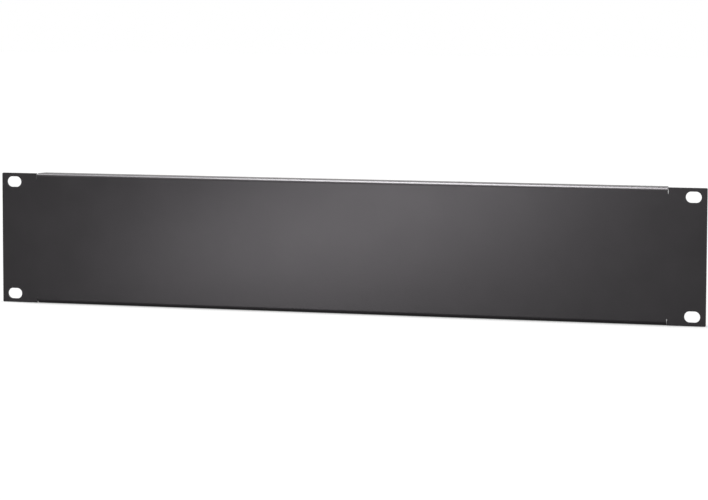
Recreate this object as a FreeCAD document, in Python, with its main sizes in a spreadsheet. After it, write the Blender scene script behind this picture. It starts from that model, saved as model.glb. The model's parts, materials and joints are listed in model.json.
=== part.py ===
import FreeCAD, Part
import math
import os
import Sketcher
from enum import IntEnum
from FreeCAD import Vector

# Flanged 2U blanking panel for a 19-inch rack: one steel sheet, punched flat and folded.
#
# Frame: the origin is the centre of the four mounting slots on the sheet's rear face, the face
# that seats on the rack's rails. +X runs along the panel, +Z up, and the show face looks along
# -Y. Lengths are in millimetres.
#
# The face runs from ear to ear. Between the ears its top and bottom edges are folded back into
# flanges, which stop short of the rails. A relief slit at each end of each flange frees the fold
# from the ear, and the flange's ends taper in towards its free edge, so that they pass the rails.

NODE = "blanking_panel"

# name, value, meaning
DIMENSIONS = [
    ("panel_width", 482.6, "face from end to end, the 19-inch rack width"),
    ("panel_height", 88.1, "face from edge to edge, two rack units less running room"),
    ("sheet_thickness", 1.5, "steel sheet"),
    ("ear_width", 25.3, "panel end to flange end"),
    ("ear_corner_radius", 0.8, "outer corners of the ears"),
    ("slot_side_inset", 8.75, "panel end to slot centre"),
    ("slot_edge_inset", 5.95, "top or bottom edge to slot centre"),
    ("slot_length", 10.3, "mounting slot from end to end, across the rail"),
    ("slot_width", 7.1, "mounting slot, clear of an M6 screw"),
    ("flange_depth", 12.0, "show face to the flange's free edge"),
    ("flange_end_setback", 1.8, "taper of each flange end, from the fold to the free edge"),
    ("flange_corner_radius", 1.0, "free corners of the flanges"),
    ("bend_inside_radius", 1.0, "inside of each fold"),
    ("relief_width", 0.4, "slit between a flange's end and the ear"),
    ("relief_depth", 4.0, "slit from the sheet's edge to its round end"),
    ("edge_rounding", 0.25, "punched and coated edge of the show face"),
]

# Formulas on the dimensions that several features share.
HALF_WIDTH = "Dimensions.panel_width / 2"
HALF_HEIGHT = "Dimensions.panel_height / 2"
FLANGE_LENGTH = "(Dimensions.panel_width - 2 * Dimensions.ear_width)"
# Height at which the flat face ends and the fold begins.
BEND_LINE = f"({HALF_HEIGHT} - Dimensions.bend_inside_radius - Dimensions.sheet_thickness)"
# Distance of a flange's free edge behind the rear face.
FREE_EDGE = "(Dimensions.flange_depth - Dimensions.sheet_thickness)"
# Cutting profiles end this high, past the sheet's edge, so that they open it cleanly.
CUT_TOP = f"({HALF_HEIGHT} + Dimensions.sheet_thickness)"

TOLERANCE = 1e-4


class Axis(IntEnum):
    """How a sketch numbers its own axes."""
    ACROSS = -1
    UPRIGHT = -2


class At(IntEnum):
    """How a sketch numbers the points of a line or an arc."""
    START = 1
    END = 2
    CENTRE = 3


ORIGIN_POINT = (Axis.ACROSS, At.START)


def make_sheet(document):
    """Put the driving dimensions into a spreadsheet, one row and alias each."""
    sheet = document.addObject("Spreadsheet::Sheet", "Dimensions")
    for row, (name, value, meaning) in enumerate(DIMENSIONS, start=1):
        sheet.set(f"A{row}", name)
        sheet.set(f"B{row}", str(value))
        sheet.set(f"C{row}", meaning)
        sheet.setAlias(f"B{row}", name)
    document.recompute()
    return sheet


def origin_plane(body, role):
    """The body's own origin plane with the given role."""
    return next(item for item in body.Origin.OriginFeatures if item.Role == role)


def make_sketch(body, name, role):
    """An empty sketch on one of the body's origin planes."""
    sketch = body.newObject("Sketcher::SketchObject", name)
    sketch.AttachmentSupport = [(origin_plane(body, role), "")]
    sketch.MapMode = "FlatFace"
    return sketch


def value_of(sketch, formula):
    """What a formula on the spreadsheet comes to."""
    return float(sketch.evalExpression(formula))


def constrain(sketch, kind, *references):
    """Add a geometric constraint."""
    sketch.addConstraint(Sketcher.Constraint(kind, *references))


def drive(sketch, name, kind, references, formula):
    """Add a dimension and bind it to the spreadsheet."""
    value = value_of(sketch, formula)
    index = sketch.addConstraint(Sketcher.Constraint(kind, *references, value))
    sketch.renameConstraint(index, name)
    sketch.setExpression(f"Constraints.{name}", formula)


def draw_line(sketch, start, end):
    """Draw a line and return its index."""
    return sketch.addGeometry(Part.LineSegment(Vector(*start, 0), Vector(*end, 0)), False)


def draw_arc(sketch, centre, radius, from_degrees, to_degrees):
    """Draw an anticlockwise arc and return its index."""
    circle = Part.Circle(Vector(*centre, 0), Vector(0, 0, 1), radius)
    arc = Part.ArcOfCircle(circle, math.radians(from_degrees), math.radians(to_degrees))
    return sketch.addGeometry(arc, False)


def draw_rectangle(sketch, left, right, bottom, top):
    """Draw an upright rectangle and return its bottom, right, top and left lines."""
    corners = [(left, bottom), (right, bottom), (right, top), (left, top)]
    lines = [
        draw_line(sketch, corner, following)
        for corner, following in zip(corners, corners[1:] + corners[:1])
    ]
    for line, following in zip(lines, lines[1:] + lines[:1]):
        constrain(sketch, "Coincident", line, At.END, following, At.START)
    for line, direction in zip(lines, ("Horizontal", "Vertical") * 2):
        constrain(sketch, direction, line)
    return lines


def add_cut_through(body, name, sketch):
    """Cut a sketch on the rear face forwards through the whole sheet."""
    pocket = body.newObject("PartDesign::Pocket", name)
    pocket.Profile = sketch
    pocket.Type = "ThroughAll"
    pocket.Reversed = True
    return pocket


def add_mirror(body, name, feature, role):
    """Repeat a feature on the other side of one of the body's origin planes."""
    mirror = body.newObject("PartDesign::Mirrored", name)
    mirror.Originals = [feature]
    mirror.MirrorPlane = (origin_plane(body, role), [""])
    body.Tip = mirror
    return mirror


def add_mirror_to_quarters(body, name, feature):
    """Repeat a feature left and right, then top and bottom."""
    quarters = body.newObject("PartDesign::MultiTransform", name)
    quarters.Originals = [feature]
    steps = []
    for suffix, role in (("Sideways", "YZ_Plane"), ("Upright", "XY_Plane")):
        step = body.newObject("PartDesign::Mirrored", name + suffix)
        step.MirrorPlane = (origin_plane(body, role), [""])
        steps.append(step)
    quarters.Transformations = steps
    body.Tip = quarters
    return quarters


def add_fillet(body, name, base, picks, radius):
    """Round the edges of the base feature that the picks function accepts."""
    body.Document.recompute()
    edges = [
        f"Edge{number}"
        for number, edge in enumerate(base.Shape.Edges, start=1)
        if picks(edge)
    ]
    fillet = body.newObject("PartDesign::Fillet", name)
    fillet.Base = (base, edges)
    fillet.setExpression("Radius", radius)
    return fillet


def make_face(body):
    """The flat face with its two ears, padded forwards from the rear face."""
    sketch = make_sketch(body, "FaceSketch", "XZ_Plane")
    half_width = value_of(sketch, HALF_WIDTH)
    half_height = value_of(sketch, HALF_HEIGHT)
    bottom, right, top, _ = draw_rectangle(
        sketch, -half_width, half_width, -half_height, half_height
    )
    constrain(sketch, "Symmetric", bottom, At.START, top, At.START, *ORIGIN_POINT)
    drive(sketch, "width", "DistanceX", (bottom, At.START, bottom, At.END), "Dimensions.panel_width")
    drive(sketch, "height", "DistanceY", (right, At.START, right, At.END), "Dimensions.panel_height")
    face = body.newObject("PartDesign::Pad", "Face")
    face.Profile = sketch
    face.setExpression("Length", "Dimensions.sheet_thickness")
    return face


def make_ear_corners(body, face):
    """Round the four outer corners of the ears."""
    def across_the_sheet(edge):
        return abs(edge.Vertexes[0].Y - edge.Vertexes[-1].Y) > TOLERANCE

    return add_fillet(body, "EarCorners", face, across_the_sheet, "Dimensions.ear_corner_radius")


def make_fold_notches(body):
    """Take the face back to its bend lines between the ears, where the flanges begin."""
    sketch = make_sketch(body, "FoldNotchSketch", "XZ_Plane")
    half_flange = value_of(sketch, FLANGE_LENGTH) / 2
    bend_line = value_of(sketch, BEND_LINE)
    cut_top = value_of(sketch, CUT_TOP)
    bottom, right, _, _ = draw_rectangle(sketch, -half_flange, half_flange, bend_line, cut_top)
    drive(sketch, "length", "DistanceX", (bottom, At.START, bottom, At.END), FLANGE_LENGTH)
    drive(sketch, "right", "DistanceX", (*ORIGIN_POINT, bottom, At.END), f"{FLANGE_LENGTH} / 2")
    drive(sketch, "bend_line", "DistanceY", (*ORIGIN_POINT, right, At.START), BEND_LINE)
    drive(sketch, "cut_top", "DistanceY", (*ORIGIN_POINT, right, At.END), CUT_TOP)
    notch = add_cut_through(body, "TopFoldNotch", sketch)
    return add_mirror(body, "BottomFoldNotch", notch, "XY_Plane")


def make_flanges(body):
    """Fold the top edge back through a quarter turn, and the bottom edge as its mirror image."""
    sketch = make_sketch(body, "FlangeSketch", "YZ_Plane")
    thickness = value_of(sketch, "Dimensions.sheet_thickness")
    inside = value_of(sketch, "Dimensions.bend_inside_radius")
    bend_line = value_of(sketch, BEND_LINE)
    top = value_of(sketch, HALF_HEIGHT)
    free_edge = value_of(sketch, FREE_EDGE)

    seam = draw_line(sketch, (-thickness, bend_line), (0, bend_line))
    inner_bend = draw_arc(sketch, (inside, bend_line), inside, 90, 180)
    inner_lip = draw_line(sketch, (inside, top - thickness), (free_edge, top - thickness))
    lip_edge = draw_line(sketch, (free_edge, top - thickness), (free_edge, top))
    outer_lip = draw_line(sketch, (free_edge, top), (inside, top))
    outer_bend = draw_arc(sketch, (inside, bend_line), inside + thickness, 90, 180)

    constrain(sketch, "Coincident", seam, At.END, inner_bend, At.END)
    constrain(sketch, "Tangent", inner_bend, At.START, inner_lip, At.START)
    constrain(sketch, "Coincident", inner_lip, At.END, lip_edge, At.START)
    constrain(sketch, "Coincident", lip_edge, At.END, outer_lip, At.START)
    constrain(sketch, "Tangent", outer_lip, At.END, outer_bend, At.START)
    constrain(sketch, "Coincident", outer_bend, At.END, seam, At.START)
    constrain(sketch, "Coincident", outer_bend, At.CENTRE, inner_bend, At.CENTRE)
    constrain(sketch, "Horizontal", seam)
    constrain(sketch, "Horizontal", inner_lip)
    constrain(sketch, "Horizontal", outer_lip)
    constrain(sketch, "Vertical", lip_edge)
    constrain(sketch, "Horizontal", seam, At.END, inner_bend, At.CENTRE)
    constrain(sketch, "PointOnObject", seam, At.END, Axis.UPRIGHT)
    drive(sketch, "inside_radius", "Radius", (inner_bend,), "Dimensions.bend_inside_radius")
    drive(sketch, "thickness", "DistanceX", (seam, At.START, seam, At.END), "Dimensions.sheet_thickness")
    drive(sketch, "top", "DistanceY", (*ORIGIN_POINT, outer_lip, At.END), HALF_HEIGHT)
    drive(sketch, "free_edge", "DistanceX", (*ORIGIN_POINT, lip_edge, At.START), FREE_EDGE)

    flange = body.newObject("PartDesign::Pad", "TopFlange")
    flange.Profile = sketch
    flange.SideType = "Symmetric"
    flange.setExpression("Length", FLANGE_LENGTH)
    return add_mirror(body, "BottomFlange", flange, "XY_Plane")


def make_flange_tapers(body):
    """Taper both flanges' ends, from the fold to the free edge, with one cut on each side."""
    sketch = make_sketch(body, "FlangeTaperSketch", "XY_Plane")
    flange_end = value_of(sketch, FLANGE_LENGTH) / 2
    setback = value_of(sketch, "Dimensions.flange_end_setback")
    fold = value_of(sketch, "Dimensions.bend_inside_radius")
    free_edge = value_of(sketch, FREE_EDGE)

    end_line = draw_line(sketch, (flange_end, fold), (flange_end, free_edge))
    back_line = draw_line(sketch, (flange_end, free_edge), (flange_end - setback, free_edge))
    slope = draw_line(sketch, (flange_end - setback, free_edge), (flange_end, fold))

    constrain(sketch, "Coincident", end_line, At.END, back_line, At.START)
    constrain(sketch, "Coincident", back_line, At.END, slope, At.START)
    constrain(sketch, "Coincident", slope, At.END, end_line, At.START)
    constrain(sketch, "Vertical", end_line)
    constrain(sketch, "Horizontal", back_line)
    drive(
        sketch, "flange_end", "DistanceX", (*ORIGIN_POINT, end_line, At.START),
        f"{FLANGE_LENGTH} / 2",
    )
    drive(
        sketch, "fold", "DistanceY", (*ORIGIN_POINT, end_line, At.START),
        "Dimensions.bend_inside_radius",
    )
    drive(sketch, "free_edge", "DistanceY", (*ORIGIN_POINT, end_line, At.END), FREE_EDGE)
    drive(
        sketch, "setback", "DistanceX", (back_line, At.END, back_line, At.START),
        "Dimensions.flange_end_setback",
    )
    taper = body.newObject("PartDesign::Pocket", "RightFlangeTaper")
    taper.Profile = sketch
    taper.Type = "ThroughAll"
    taper.SideType = "Symmetric"
    return add_mirror(body, "LeftFlangeTaper", taper, "YZ_Plane")


def make_flange_corners(body, flanges):
    """Round the two free corners of each flange."""
    free_edge = value_of(flanges, FREE_EDGE)

    def upright_on_free_edge(edge):
        first, last = edge.Vertexes[0].Point, edge.Vertexes[-1].Point
        upright = abs(first.z - last.z) > TOLERANCE
        return upright and min(first.y, last.y) > free_edge - TOLERANCE

    radius = "Dimensions.flange_corner_radius"
    return add_fillet(body, "FlangeCorners", flanges, upright_on_free_edge, radius)


def make_relief_slits(body):
    """Slit the sheet beside each end of each flange, with a round end to stop a tear."""
    sketch = make_sketch(body, "ReliefSlitSketch", "XZ_Plane")
    inner_side = value_of(sketch, FLANGE_LENGTH) / 2
    radius = value_of(sketch, "Dimensions.relief_width") / 2
    outer_side = inner_side + 2 * radius
    round_end = value_of(sketch, f"{HALF_HEIGHT} - Dimensions.relief_depth") + radius
    mouth = value_of(sketch, CUT_TOP)

    arc = draw_arc(sketch, (inner_side + radius, round_end), radius, 180, 360)
    outer = draw_line(sketch, (outer_side, round_end), (outer_side, mouth))
    top = draw_line(sketch, (outer_side, mouth), (inner_side, mouth))
    inner = draw_line(sketch, (inner_side, mouth), (inner_side, round_end))

    constrain(sketch, "Tangent", inner, At.END, arc, At.START)
    constrain(sketch, "Tangent", arc, At.END, outer, At.START)
    constrain(sketch, "Coincident", outer, At.END, top, At.START)
    constrain(sketch, "Coincident", top, At.END, inner, At.START)
    constrain(sketch, "Vertical", inner)
    constrain(sketch, "Vertical", outer)
    constrain(sketch, "Horizontal", top)
    drive(sketch, "width", "DistanceX", (top, At.END, top, At.START), "Dimensions.relief_width")
    drive(sketch, "flange_end", "DistanceX", (*ORIGIN_POINT, inner, At.START), f"{FLANGE_LENGTH} / 2")
    drive(sketch, "mouth", "DistanceY", (*ORIGIN_POINT, outer, At.END), CUT_TOP)
    drive(
        sketch, "round_end", "DistanceY", (*ORIGIN_POINT, arc, At.CENTRE),
        f"{HALF_HEIGHT} - Dimensions.relief_depth + Dimensions.relief_width / 2",
    )
    slit = add_cut_through(body, "ReliefSlit", sketch)
    return add_mirror_to_quarters(body, "ReliefSlits", slit)


def make_mounting_slots(body):
    """Four slots for the rack screws, longer across the rail to take up its tolerance."""
    sketch = make_sketch(body, "MountingSlotSketch", "XZ_Plane")
    across = value_of(sketch, f"{HALF_WIDTH} - Dimensions.slot_side_inset")
    height = value_of(sketch, f"{HALF_HEIGHT} - Dimensions.slot_edge_inset")
    radius = value_of(sketch, "Dimensions.slot_width") / 2
    half_straight = value_of(sketch, "Dimensions.slot_length") / 2 - radius
    left, right = across - half_straight, across + half_straight

    left_arc = draw_arc(sketch, (left, height), radius, 90, 270)
    bottom = draw_line(sketch, (left, height - radius), (right, height - radius))
    right_arc = draw_arc(sketch, (right, height), radius, -90, 90)
    top = draw_line(sketch, (right, height + radius), (left, height + radius))

    constrain(sketch, "Tangent", left_arc, At.END, bottom, At.START)
    constrain(sketch, "Tangent", bottom, At.END, right_arc, At.START)
    constrain(sketch, "Tangent", right_arc, At.END, top, At.START)
    constrain(sketch, "Tangent", top, At.END, left_arc, At.START)
    constrain(sketch, "Equal", left_arc, right_arc)
    constrain(sketch, "Horizontal", bottom)
    drive(sketch, "end_radius", "Radius", (left_arc,), "Dimensions.slot_width / 2")
    drive(
        sketch, "straight", "DistanceX", (left_arc, At.CENTRE, right_arc, At.CENTRE),
        "Dimensions.slot_length - Dimensions.slot_width",
    )
    drive(
        sketch, "across", "DistanceX", (*ORIGIN_POINT, left_arc, At.CENTRE),
        f"{HALF_WIDTH} - Dimensions.slot_side_inset"
        " - (Dimensions.slot_length - Dimensions.slot_width) / 2",
    )
    drive(
        sketch, "height", "DistanceY", (*ORIGIN_POINT, left_arc, At.CENTRE),
        f"{HALF_HEIGHT} - Dimensions.slot_edge_inset",
    )
    slot = add_cut_through(body, "MountingSlot", sketch)
    return add_mirror_to_quarters(body, "MountingSlots", slot)


def make_rounded_show_edges(body, panel):
    """Soften the show face's rim along the ears and round the slots."""
    front = -value_of(panel, "Dimensions.sheet_thickness")
    slit_side = value_of(panel, f"{FLANGE_LENGTH} / 2 + Dimensions.relief_width")

    def on_ear_rim(edge):
        points = [vertex.Point for vertex in edge.Vertexes]
        on_front = all(abs(point.y - front) < TOLERANCE for point in points)
        distances = [abs(point.x) for point in points]
        on_ear = min(distances) > slit_side - TOLERANCE
        leaves_slit = max(distances) > slit_side + TOLERANCE
        return on_front and on_ear and leaves_slit

    return add_fillet(body, "ShowEdges", panel, on_ear_rim, "Dimensions.edge_rounding")


def check(document, body):
    """Stop if a feature failed, or if a cut or a fold didn't change the solid."""
    for item in document.Objects:
        if "Invalid" in item.State or "Error" in item.State:
            raise RuntimeError(f"{item.Name} failed: {item.State}")
    volume = 0.0
    for name in (
        "Face", "EarCorners", "TopFoldNotch", "BottomFoldNotch", "TopFlange", "BottomFlange",
        "RightFlangeTaper", "LeftFlangeTaper", "FlangeCorners", "ReliefSlit", "ReliefSlits",
        "MountingSlot", "MountingSlots", "ShowEdges",
    ):
        feature = document.getObject(name)
        if abs(feature.Shape.Volume - volume) < TOLERANCE:
            raise RuntimeError(f"{name} changed nothing")
        volume = feature.Shape.Volume
    if body.Shape.isNull() or not body.Shape.isValid() or len(body.Shape.Solids) != 1:
        raise RuntimeError("the panel isn't one valid solid")


def make_panel(document):
    """Punch and fold the panel, one feature for each step."""
    body = document.addObject("PartDesign::Body", "BlankingPanel")
    body.Label = NODE
    face = make_face(body)
    make_ear_corners(body, face)
    make_fold_notches(body)
    make_flanges(body)
    flanges = make_flange_tapers(body)
    make_flange_corners(body, flanges)
    make_relief_slits(body)
    slots = make_mounting_slots(body)
    body.Tip = make_rounded_show_edges(body, slots)
    document.recompute()
    return body


def main():
    document = FreeCAD.newDocument("BlankingPanel")
    make_sheet(document)
    panel = make_panel(document)
    check(document, panel)
    os.makedirs("parts", exist_ok=True)
    panel.Shape.exportStep(f"parts/{NODE}.step")
    box = panel.Shape.optimalBoundingBox(False, False)
    print(f"{NODE}: {box.XLength:.2f} x {box.YLength:.2f} x {box.ZLength:.2f} mm, "
          f"{panel.Shape.Volume / 1000:.2f} cm3")


main()
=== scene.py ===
import json
import math

import bpy
from mathutils import Matrix, Vector


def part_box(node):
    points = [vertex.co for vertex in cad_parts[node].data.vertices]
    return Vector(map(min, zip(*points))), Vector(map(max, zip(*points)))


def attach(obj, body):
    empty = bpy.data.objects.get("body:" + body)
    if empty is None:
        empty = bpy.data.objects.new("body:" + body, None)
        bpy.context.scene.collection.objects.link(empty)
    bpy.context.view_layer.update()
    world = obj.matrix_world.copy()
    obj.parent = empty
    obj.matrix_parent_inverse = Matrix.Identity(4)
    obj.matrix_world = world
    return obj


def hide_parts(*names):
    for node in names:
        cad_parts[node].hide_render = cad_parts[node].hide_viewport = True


# A rack blanking panel: one steel sheet with four screw slots, its long edges folded back
# into flanges, finished in black powder coat. X runs along the panel, Y goes back into the
# rack and Z is up. The middle of the four slots, on the sheet's rear face, is the origin.
# Lengths are in metres.

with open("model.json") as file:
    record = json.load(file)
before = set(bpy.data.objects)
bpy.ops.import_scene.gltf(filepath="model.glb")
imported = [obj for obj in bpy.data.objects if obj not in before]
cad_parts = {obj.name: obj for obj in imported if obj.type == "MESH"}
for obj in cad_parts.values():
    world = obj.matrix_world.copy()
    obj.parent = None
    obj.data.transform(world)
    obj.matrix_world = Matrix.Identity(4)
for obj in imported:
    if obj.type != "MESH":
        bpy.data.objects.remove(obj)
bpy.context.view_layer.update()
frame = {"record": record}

MM = 0.001
PANEL_NODE = "blanking_panel"
WHITE = (1.0, 1.0, 1.0, 1.0)

lowest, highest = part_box(PANEL_NODE)
rack_slots = next(m for m in frame["record"]["mounts"] if m["name"] == "rack_slots")["dims"]

# The sheet's sizes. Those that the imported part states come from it.
SHEET_SIZES = {
    "Panel width": highest.x - lowest.x,
    "Panel height": highest.z - lowest.z,
    "Sheet thickness": -lowest.y,
    "Flange depth": highest.y - lowest.y,
    "Bend inside radius": 1.0 * MM,
    "Ear width": 25.3 * MM,
    "Ear corner radius": 0.8 * MM,
    "Relief width": 0.4 * MM,
    "Relief depth": 4.0 * MM,
    "Flange end setback": 1.8 * MM,
    "Flange corner radius": 1.0 * MM,
    "Slot length": rack_slots["slot_length_mm"] * MM,
    "Slot width": 2 * rack_slots["hole_r_mm"] * MM,
    "Slot spacing across": rack_slots["spacing_x_mm"] * MM,
    "Slot spacing up": rack_slots["spacing_y_mm"] * MM,
}

# Each bend has this many rows of faces, and each round corner of the blank so many points.
BEND_ROWS = 20
CORNER_POINTS = 10
# Edges of the blank that lie this near are one edge, and what lies within this margin of a
# flange's end still folds with the flange.
SEAM_REACH = 0.002 * MM
FLANGE_MARGIN = 10 * SEAM_REACH

# The softened edges: those that turn by more than this angle are rounded, in so many steps.
# The broad sides lead the shading of those steps this strongly, out of 100.
EDGE_ROUNDING = 0.12 * MM
EDGE_STEPS = 3
EDGE_ANGLE = math.radians(40)
BROAD_SIDE_WEIGHT = 100

# The coat. Its pigment and its gloss shift between two values in soft clouds, where the
# noise goes from thin to full. Scales are in waves to the metre.
CLOUD_SCALE = 45.0
CLOUD_DETAIL = 3.0
CLOUD_THIN = 0.3
CLOUD_FULL = 0.7
PIGMENT_IN_THIN = (0.0054, 0.0051, 0.0054, 1.0)
PIGMENT_IN_FULL = (0.0074, 0.0069, 0.0074, 1.0)
ROUGHNESS_IN_THIN = 0.36
ROUGHNESS_IN_FULL = 0.39
COAT_SURFACE = {"IOR": 1.5, "Specular IOR Level": 0.28, "Specular Tint": (1.0, 0.95, 1.0, 1.0)}

# Orange peel, and the finer grain that lies on it. Both are smooth waves, of little detail.
PEEL_SCALE = 700.0
PEEL_DEPTH = 0.025 * MM
GRAIN_SCALE = 2600.0
GRAIN_DEPTH = 0.006 * MM
WAVE_DETAIL = 1.0

# The floor, how much its white is lifted where it is seen, and how near the panel has to
# stand over it to take that away as painted contact shade. The room's light is a share of white.
FLOOR_COLOUR = (0.22, 0.22, 0.22, 1.0)
FLOOR_HALF_WIDTH = 8.0
FLOOR_GAP = 0.01 * MM
FLOOR_LIFT = 0.77
PAINTED_SHADE_REACH = 12 * MM
ROOM_LIGHT = 0.45

# The lamps. A softbox looks down until it is turned, by so many degrees about X, Y and Z. Its
# radiance is how bright its face looks, where 1 is white.
FRONT_STRIP = {
    "place": (-0.142, -0.30, -0.027),
    "turn": (94.93, -19.41, -26.97),
    "width": 0.483,
    "height": 0.060,
    "radiance": 14.9,
}
TOP_BOX = {
    "place": (-0.040, -0.086, 0.50),
    "turn": (0, 0, 0),
    "width": 0.38,
    "height": 0.36,
    "radiance": 39.0,
}
TOWARDS_OVERHEAD = Vector((-0.42, 0.05, 0.95))
OVERHEAD_BREADTH = math.radians(20)
OVERHEAD_LEVEL = 0.95

# Where the camera stands and how it is turned. Its lens and film are in millimetres.
CAMERA_PLACE = Vector((0.533314, -1.757956, 0.162639))
CAMERA_TURN = math.radians(16.6337)
CAMERA_TILT = math.radians(5.1232)
CAMERA_ROLL = math.radians(0.1681)
CAMERA_FILM = 36.0
CAMERA_LENS = 142.614
CAMERA_NEAR = 0.05
CAMERA_FAR = 50.0


# ---------------------------------------------------------------- node trees in plain sums


class Quantity:
    """A size or field in a node tree that can be reckoned with like a plain number."""

    def __init__(self, tree, socket):
        self.tree = tree
        self.socket = socket

    def sum_of(self, operation, *values):
        node = add(self.tree, "ShaderNodeMath", operation=operation)
        for socket, value in zip(node.inputs, values):
            feed(self.tree, socket, value)
        return Quantity(self.tree, node.outputs[0])

    def __add__(self, other):
        return self.sum_of("ADD", self, other)

    def __sub__(self, other):
        return self.sum_of("SUBTRACT", self, other)

    def __mul__(self, other):
        return self.sum_of("MULTIPLY", self, other)

    def __truediv__(self, other):
        return self.sum_of("DIVIDE", self, other)

    def at_least(self, other):
        return self.sum_of("MAXIMUM", self, other)

    def at_most(self, other):
        return self.sum_of("MINIMUM", self, other)

    def is_below(self, other):
        return self.sum_of("LESS_THAN", self, other)

    def size(self):
        return self.sum_of("ABSOLUTE", self)

    def sign(self):
        return self.sum_of("SIGN", self)

    def sine(self):
        return self.sum_of("SINE", self)

    def cosine(self):
        return self.sum_of("COSINE", self)


def feed(tree, socket, value):
    """Join a value to a node's socket: another node's result, or a plain number."""
    if isinstance(value, Quantity):
        tree.links.new(value.socket, socket)
    elif isinstance(value, bpy.types.NodeSocket):
        tree.links.new(value, socket)
    else:
        socket.default_value = value


def add(tree, kind, inputs=None, **settings):
    """Add a node with its settings, and feed its named inputs."""
    node = tree.nodes.new(kind)
    for name, value in settings.items():
        setattr(node, name, value)
    for name, value in (inputs or {}).items():
        feed(tree, node.inputs[name], value)
    return node


# ---------------------------------------------------------------- lines and flat shapes


def point(tree, x, y, z=0.0):
    """A place, from its three sizes."""
    return add(tree, "ShaderNodeCombineXYZ", {"X": x, "Y": y, "Z": z}).outputs["Vector"]


def by_index(tree, data_type, values):
    """A field that takes its value from a list, by the point's number."""
    node = add(tree, "GeometryNodeIndexSwitch", data_type=data_type)
    while len(node.index_switch_items) < len(values):
        node.index_switch_items.new()
    feed(tree, node.inputs["Index"], add(tree, "GeometryNodeInputIndex").outputs[0])
    for number, value in enumerate(values):
        feed(tree, node.inputs[str(number)], value)
    return node.outputs["Output"]


def joined(tree, *shapes):
    """The shapes side by side, as one."""
    node = add(tree, "GeometryNodeJoinGeometry")
    for shape in shapes:
        tree.links.new(shape, node.inputs[0])
    return node.outputs[0]


def merged(tree, shape):
    """The shape with the points that lie on each other made one."""
    inputs = {"Geometry": shape, "Distance": SEAM_REACH}
    return add(tree, "GeometryNodeMergeByDistance", inputs).outputs[0]


def moved(tree, shape, **how):
    """The shape after a Translation, a Rotation or a Scale."""
    return add(tree, "GeometryNodeTransform", {"Geometry": shape, **how}).outputs[0]


def with_mirror_image(tree, shape, scale):
    """The shape and its mirror image, side by side."""
    return joined(tree, shape, moved(tree, shape, Scale=scale))


def rounded(tree, line, points, radius):
    """The line as edges, with its corners rounded, each by so many points."""
    inputs = {"Curve": line, "Count": points, "Radius": radius}
    line = add(tree, "GeometryNodeFilletCurve", inputs, mode="POLY").outputs[0]
    return add(tree, "GeometryNodeCurveToMesh", {"Curve": line}).outputs[0]


def path_through(tree, corners, radii):
    """An open line of edges through the corners given, each rounded to its own radius."""
    line = add(tree, "GeometryNodeCurvePrimitiveLine").outputs[0]
    inputs = {"Curve": line, "Count": len(corners)}
    line = add(tree, "GeometryNodeResampleCurve", inputs, mode="COUNT").outputs[0]
    places = by_index(tree, "VECTOR", [point(tree, *corner) for corner in corners])
    line = add(tree, "GeometryNodeSetPosition", {"Geometry": line, "Position": places}).outputs[0]
    return rounded(tree, line, CORNER_POINTS, by_index(tree, "FLOAT", radii))


def outline_of(tree, edges):
    """The closed line that the edges make once their ends are joined."""
    return add(tree, "GeometryNodeMeshToCurve", {"Mesh": merged(tree, edges)}).outputs[0]


def cut_out(tree, *outlines):
    """The flat face inside the first outline, less those inside the others."""
    inputs = {"Curve": joined(tree, *outlines)}
    return add(tree, "GeometryNodeFillCurve", inputs, mode="NGONS").outputs[0]


# ---------------------------------------------------------------- the folded sheet


def screw_slots(tree, size):
    """The outlines of the round-ended slots, one at each corner of the rack's screw pattern."""
    inputs = {"Width": size["Slot length"], "Height": size["Slot width"]}
    slot = add(tree, "GeometryNodeCurvePrimitiveQuadrilateral", inputs).outputs[0]
    slot = rounded(tree, slot, 2 * CORNER_POINTS, size["Slot width"] / 2)
    inputs = {
        "Size X": size["Slot spacing across"],
        "Size Y": size["Slot spacing up"],
        "Vertices X": 2,
        "Vertices Y": 2,
    }
    pattern = add(tree, "GeometryNodeMeshGrid", inputs).outputs["Mesh"]
    inputs = {"Points": pattern, "Instance": merged(tree, slot)}
    slots = add(tree, "GeometryNodeInstanceOnPoints", inputs).outputs[0]
    slots = add(tree, "GeometryNodeRealizeInstances", {"Geometry": slots}).outputs[0]
    return add(tree, "GeometryNodeMeshToCurve", {"Mesh": slots}).outputs[0]


def ear_and_face(tree, size, bend_line, half_fold):
    """The flat front with its ears, cut by the four relief slits and the four screw slots."""
    half_width = size["Panel width"] / 2
    half_height = size["Panel height"] / 2
    slit_end = half_height - size["Relief depth"]
    ear = half_fold + size["Relief width"]
    slit_radius = size["Relief width"] / 2
    corners = [
        (0.0, bend_line),
        (half_fold, bend_line),
        (half_fold, slit_end),
        (ear, slit_end),
        (ear, half_height),
        (half_width, half_height),
        (half_width, 0.0),
    ]
    radii = [0.0, 0.0, slit_radius, slit_radius, 0.0, size["Ear corner radius"], 0.0]
    quarter = path_through(tree, corners, radii)
    half = with_mirror_image(tree, quarter, (-1, 1, 1))
    whole = with_mirror_image(tree, half, (1, -1, 1))
    return cut_out(tree, outline_of(tree, whole), screw_slots(tree, size))


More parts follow.
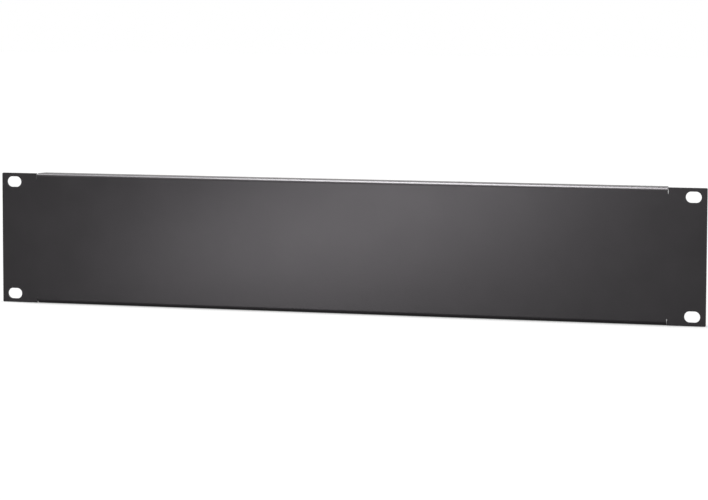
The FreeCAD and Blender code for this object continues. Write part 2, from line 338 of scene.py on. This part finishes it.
def flat_flange(tree, size, bend_line, half_fold, bend_length, lip_length):
    """The top flange before it is folded: rows for the bend, then the lip with tapered ends."""
    # The rows have a middle point as well as two ends, as the face and the lip beside them do.
    inputs = {
        "Size X": half_fold * 2,
        "Size Y": bend_length,
        "Vertices X": 3,
        "Vertices Y": BEND_ROWS + 1,
    }
    rows = add(tree, "GeometryNodeMeshGrid", inputs).outputs["Mesh"]
    rows = moved(tree, rows, Translation=point(tree, 0.0, bend_line + bend_length / 2))
    lip_start = bend_line + bend_length
    free_edge = lip_start + lip_length
    corners = [
        (0.0, lip_start),
        (half_fold, lip_start),
        (half_fold - size["Flange end setback"], free_edge),
        (0.0, free_edge),
    ]
    half = path_through(tree, corners, [0.0, 0.0, size["Flange corner radius"], 0.0])
    lip = cut_out(tree, outline_of(tree, with_mirror_image(tree, half, (-1, 1, 1))))
    return joined(tree, rows, lip)


def folded(tree, blank, bend_line, half_fold, bend_length, outer_radius, bend_centre):
    """Fold both flanges of the flat blank back about their bend lines, and stand the sheet up.

    The line that a bend turns about lies as far behind the rear face as bend_centre says.
    """
    place = add(tree, "GeometryNodeInputPosition").outputs[0]
    flat = add(tree, "ShaderNodeSeparateXYZ", {"Vector": place})
    across = Quantity(tree, flat.outputs["X"])
    along = Quantity(tree, flat.outputs["Y"])
    up = along.size()
    in_flange = across.size().is_below(half_fold + FLANGE_MARGIN)
    beyond = (up - bend_line).at_least(0.0) * in_flange
    turn = beyond.at_most(bend_length) / outer_radius
    back = bend_centre - turn.cosine() * outer_radius + (beyond - bend_length).at_least(0.0)
    height = along.sign() * (up - beyond + turn.sine() * outer_radius)
    inputs = {"Geometry": blank, "Position": point(tree, across, back, height)}
    return add(tree, "GeometryNodeSetPosition", inputs).outputs[0]


def make_sheet_tree(coat):
    """The sheet's outer skin: cut and punched flat, then folded by rule."""
    tree = bpy.data.node_groups.new("Folded sheet", "GeometryNodeTree")
    for name, value in SHEET_SIZES.items():
        socket = tree.interface.new_socket(name, in_out="INPUT", socket_type="NodeSocketFloat")
        socket.subtype = "DISTANCE"
        socket.default_value = value
    tree.interface.new_socket("Sheet", in_out="OUTPUT", socket_type="NodeSocketGeometry")
    given = add(tree, "NodeGroupInput")
    size = {name: Quantity(tree, given.outputs[name]) for name in SHEET_SIZES}

    # What follows from the sizes given. The flanges run from -half_fold to half_fold.
    bend_centre = size["Bend inside radius"]
    outer_radius = size["Bend inside radius"] + size["Sheet thickness"]
    bend_line = size["Panel height"] / 2 - outer_radius
    bend_length = outer_radius * (math.pi / 2)
    lip_length = size["Flange depth"] - outer_radius
    half_fold = size["Panel width"] / 2 - size["Ear width"]

    face = ear_and_face(tree, size, bend_line, half_fold)
    top = flat_flange(tree, size, bend_line, half_fold, bend_length, lip_length)
    bottom = moved(tree, top, Rotation=(0, 0, math.pi))
    blank = merged(tree, joined(tree, face, top, bottom))
    sheet = folded(tree, blank, bend_line, half_fold, bend_length, outer_radius, bend_centre)
    sheet = add(tree, "GeometryNodeSetShadeSmooth", {"Geometry": sheet}).outputs[0]
    sheet = add(tree, "GeometryNodeRealizeInstances", {"Geometry": sheet}).outputs[0]
    inputs = {"Geometry": sheet, "Material": coat}
    sheet = add(tree, "GeometryNodeSetMaterial", inputs).outputs[0]
    add(tree, "NodeGroupOutput", {"Sheet": sheet})
    return tree


def new_object(name, data):
    """A new object in the scene."""
    thing = bpy.data.objects.new(name, data)
    bpy.context.scene.collection.objects.link(thing)
    return thing


def make_panel(coat):
    """The folded sheet with its thickness and softened edges, as one plain mesh."""
    blank = new_object("sheet_blank", bpy.data.meshes.new("sheet_blank"))
    tree = make_sheet_tree(coat)
    fold = blank.modifiers.new("Fold", "NODES")
    fold.node_group = tree
    for item in tree.interface.items_tree:
        if item.item_type == "SOCKET" and item.in_out == "INPUT":
            fold[item.identifier] = SHEET_SIZES[item.name]

    # The skin is the sheet's outer side, so the wall grows inwards from it.
    wall = blank.modifiers.new("Wall", "SOLIDIFY")
    wall.thickness = SHEET_SIZES["Sheet thickness"]
    wall.offset = -1
    wall.use_even_offset = True

    edges = blank.modifiers.new("Edges", "BEVEL")
    edges.width = EDGE_ROUNDING
    edges.segments = EDGE_STEPS
    edges.limit_method = "ANGLE"
    edges.angle_limit = EDGE_ANGLE
    edges.use_clamp_overlap = False
    edges.loop_slide = False

    # The broad flat sides keep their own shading right up to the softened edges.
    shading = blank.modifiers.new("Shading", "WEIGHTED_NORMAL")
    shading.mode = "FACE_AREA"
    shading.weight = BROAD_SIDE_WEIGHT

    depsgraph = bpy.context.evaluated_depsgraph_get()
    mesh = bpy.data.meshes.new_from_object(
        blank.evaluated_get(depsgraph), preserve_all_data_layers=True, depsgraph=depsgraph
    )
    mesh.name = "folded_sheet"
    panel = new_object("folded_sheet", mesh)
    bpy.data.objects.remove(blank)
    return panel


# ---------------------------------------------------------------- finishes


def new_material(name):
    """A new material with an empty node tree, and that tree."""
    material = bpy.data.materials.new(name)
    material.use_nodes = True
    material.node_tree.nodes.clear()
    return material, material.node_tree


def noise(tree, place, scale, detail):
    """Soft random noise over the surface."""
    inputs = {"Vector": place, "Scale": scale, "Detail": detail}
    return add(tree, "ShaderNodeTexNoise", inputs).outputs["Fac"]


def bump(tree, height, depth, **under):
    """The surface's direction once it is raised by a height, on the Normal of what is under it."""
    inputs = {"Height": height, "Strength": 1.0, "Distance": depth, **under}
    return add(tree, "ShaderNodeBump", inputs).outputs["Normal"]


def make_powder_coat():
    """Satin black powder coat: a fine orange peel, and a slight unevenness in its gloss."""
    material, tree = new_material("black_powder_coat")
    place = add(tree, "ShaderNodeTexCoord").outputs["Object"]
    clouds = noise(tree, place, CLOUD_SCALE, CLOUD_DETAIL)

    pigment = add(tree, "ShaderNodeValToRGB", {"Fac": clouds})
    thin, full = pigment.color_ramp.elements
    thin.position = CLOUD_THIN
    thin.color = PIGMENT_IN_THIN
    full.position = CLOUD_FULL
    full.color = PIGMENT_IN_FULL

    inputs = {
        "Value": clouds,
        "From Min": CLOUD_THIN,
        "From Max": CLOUD_FULL,
        "To Min": ROUGHNESS_IN_THIN,
        "To Max": ROUGHNESS_IN_FULL,
    }
    roughness = add(tree, "ShaderNodeMapRange", inputs).outputs["Result"]

    peel = bump(tree, noise(tree, place, PEEL_SCALE, WAVE_DETAIL), PEEL_DEPTH)
    grain = bump(tree, noise(tree, place, GRAIN_SCALE, WAVE_DETAIL), GRAIN_DEPTH, Normal=peel)

    shader = add(tree, "ShaderNodeBsdfPrincipled", COAT_SURFACE)
    feed(tree, shader.inputs["Base Color"], pigment.outputs["Color"])
    feed(tree, shader.inputs["Roughness"], roughness)
    feed(tree, shader.inputs["Normal"], grain)
    add(tree, "ShaderNodeOutputMaterial", {"Surface": shader.outputs["BSDF"]})
    return material


def seen_directly(tree):
    """1 for what the camera sees, also in a reflection or through glass, and 0 for lighting."""
    path = add(tree, "ShaderNodeLightPath").outputs
    in_view = Quantity(tree, path["Is Camera Ray"])
    in_gloss = Quantity(tree, path["Is Glossy Ray"])
    through_glass = Quantity(tree, path["Is Transmission Ray"])
    return in_view.at_least(in_gloss).at_least(through_glass)


def make_floor_finish():
    """Plain pale floor: white where it is seen, with the soft shadow left on it.

    The seen white fades where the panel stands close over the floor: painted shade, from ambient
    occlusion.
    """
    material, tree = new_material("pale_floor")
    paint = add(tree, "ShaderNodeBsdfDiffuse", {"Color": FLOOR_COLOUR}).outputs[0]
    # Painted contact shade: ambient occlusion near the panel darkens the floor's seen white.
    inputs = {"Distance": PAINTED_SHADE_REACH}
    open_share_for_painted_shade = Quantity(tree, add(tree, "ShaderNodeAmbientOcclusion", inputs).outputs["AO"])
    strength = seen_directly(tree) * open_share_for_painted_shade * FLOOR_LIFT
    lift = add(tree, "ShaderNodeEmission", {"Strength": strength}).outputs[0]
    both = add(tree, "ShaderNodeAddShader")
    feed(tree, both.inputs[0], paint)
    feed(tree, both.inputs[1], lift)
    add(tree, "ShaderNodeOutputMaterial", {"Surface": both.outputs[0]})
    return material


# ---------------------------------------------------------------- floor, room and lamps


def make_floor():
    """A wide plain floor that the panel stands on, on its folded bottom edge."""
    half = FLOOR_HALF_WIDTH
    height = lowest.z - FLOOR_GAP
    corners = [(-half, -half), (half, -half), (half, half), (-half, half)]
    mesh = bpy.data.meshes.new("floor")
    mesh.from_pydata([(x, y, height) for x, y in corners], [], [(0, 1, 2, 3)])
    floor = new_object("floor", mesh)
    floor.data.materials.append(make_floor_finish())


def make_room():
    """White surroundings as they are seen, and a plain even light from all round."""
    world = bpy.data.worlds.new("room")
    bpy.context.scene.world = world
    world.use_nodes = True
    tree = world.node_tree
    tree.nodes.clear()
    strength = seen_directly(tree) * (1.0 - ROOM_LIGHT) + ROOM_LIGHT
    background = add(tree, "ShaderNodeBackground", {"Color": WHITE, "Strength": strength})
    add(tree, "ShaderNodeOutputWorld", {"Surface": background.outputs[0]})


def make_softbox(name, place, turn, width, height, radiance):
    """A rectangular lamp that is not itself in view."""
    lamp = bpy.data.lights.new(name, "AREA")
    lamp.shape = "RECTANGLE"
    lamp.size = width
    lamp.size_y = height
    lamp.energy = radiance * width * height * math.pi
    box = new_object(name, lamp)
    box.location = place
    box.rotation_euler = [math.radians(angle) for angle in turn]
    box.visible_camera = False
    return box


def make_overhead():
    """A broad lamp far overhead, even over the whole floor."""
    lamp = bpy.data.lights.new("overhead", "SUN")
    lamp.angle = OVERHEAD_BREADTH
    lamp.energy = OVERHEAD_LEVEL * math.pi
    overhead = new_object("overhead", lamp)
    overhead.matrix_world = TOWARDS_OVERHEAD.to_track_quat("Z", "Y").to_matrix().to_4x4()


def make_lamps(panel):
    """A strip for the face, an even light from overhead, and a box above for the fold alone."""
    make_softbox("front_strip", **FRONT_STRIP)
    make_overhead()
    top = make_softbox("top_box", **TOP_BOX)
    lit = bpy.data.collections.new("lit_from_the_top_box")
    lit.objects.link(panel)
    top.light_linking.receiver_collection = lit


def make_camera():
    """The camera, level but for its tilt and a trace of roll."""
    camera = bpy.data.cameras.new("camera")
    camera.sensor_width = CAMERA_FILM
    camera.lens = CAMERA_LENS
    camera.clip_start = CAMERA_NEAR
    camera.clip_end = CAMERA_FAR
    stand = new_object("camera", camera)
    stand.matrix_world = (
        Matrix.Translation(CAMERA_PLACE)
        @ Matrix.Rotation(CAMERA_TURN, 4, "Z")
        @ Matrix.Rotation(math.pi / 2 - CAMERA_TILT, 4, "X")
        @ Matrix.Rotation(CAMERA_ROLL, 4, "Z")
    )
    bpy.context.scene.camera = stand


panel = make_panel(make_powder_coat())
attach(panel, "root")
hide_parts(PANEL_NODE)

make_floor()
make_room()
make_lamps(panel)
make_camera()
bpy.context.scene.view_settings.view_transform = "Standard"
